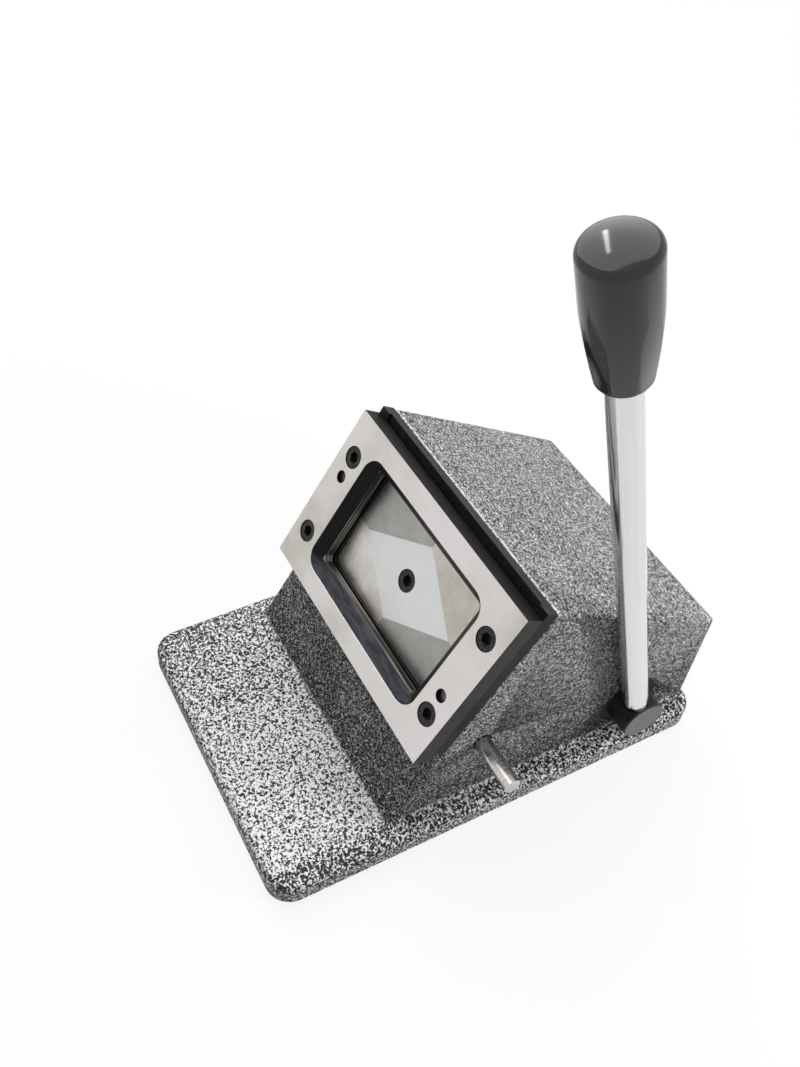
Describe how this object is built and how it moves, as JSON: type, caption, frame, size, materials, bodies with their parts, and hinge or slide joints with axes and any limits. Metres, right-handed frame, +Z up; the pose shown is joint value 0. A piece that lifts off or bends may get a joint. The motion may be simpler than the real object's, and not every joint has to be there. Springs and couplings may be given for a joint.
{
  "type": "card cutter",
  "caption": "Bench die cutter: heavy cast wedge body with a sloped bevelled card-sized opening, and a side hand lever that drives a punch out through it.",
  "frame": {"origin": "on the surface the machine stands on, under the middle of the base flange", "axes": "+X towards the lever side, +Y towards the back, +Z up"},
  "size_m": [0.1688, 0.23, 0.3106],
  "materials": {
    "hammered_paint": "hammered silver and black paint",
    "cover_steel": "black painted sheet steel",
    "zinc_screws": "zinc plated",
    "black_rubber": "matt",
    "blackened_steel": "blackened, satin",
    "ground_steel": "surface ground",
    "punch_steel": "surface ground",
    "black_screws": "black oxide",
    "dowel_steel": "hardened",
    "machined_steel": "machined",
    "key_steel": "drawn",
    "bronze": "machined",
    "spring_steel": "drawn wire",
    "shaft_steel": "turned, dark",
    "seal_rubber": "matt",
    "pin_steel": "turned",
    "rod_chrome": "polished chrome",
    "grip_plastic": "glossy, dark grey",
    "brass": "machined"
  },
  "bodies": {
    "machine_body": {"body_casting": "hammered_paint", "bottom_cover": "cover_steel", "cover_screws": "zinc_screws", "base_mat": "black_rubber", "guide_plate": "blackened_steel", "die_plate": "ground_steel", "die_screws": "black_screws", "locating_dowels": "dowel_steel", "plunger_bush": "bronze", "return_spring": "spring_steel", "left_bush": "bronze", "right_bush": "bronze", "shaft_seal": "seal_rubber", "stop_pin": "pin_steel"},
    "lever": {"lever_shaft": "shaft_steel", "cam": "machined_steel", "cam_key": "key_steel", "shaft_collar": "machined_steel", "grub_screws": "black_screws", "lever_rod": "rod_chrome", "lever_grip": "grip_plastic", "grip_insert": "brass"},
    "punch_ram": {"punch": "punch_steel", "punch_screw": "black_screws", "punch_dowels": "dowel_steel", "pressure_plate": "machined_steel", "plunger": "machined_steel"}
  },
  "joints": [
    {"name": "lever_swing", "type": "hinge", "parent": "machine_body", "child": "lever", "pos_m": [0, 0.0735, 0.0304], "axis": [1, 0, 0], "range_deg": [0, 50.5], "stiffness_Nm_per_rad": 0.6, "springref_deg": -51.57},
    {"name": "punch_slide", "type": "slide", "parent": "machine_body", "child": "punch_ram", "axis": [0, -0.866, 0.5], "range_m": [0, 0.0053], "deforming": ["return_spring"]}
  ],
  "couplings": [
    {"joint": "punch_slide", "follows": "lever_swing", "m_per_rad": 0.006}
  ]
}
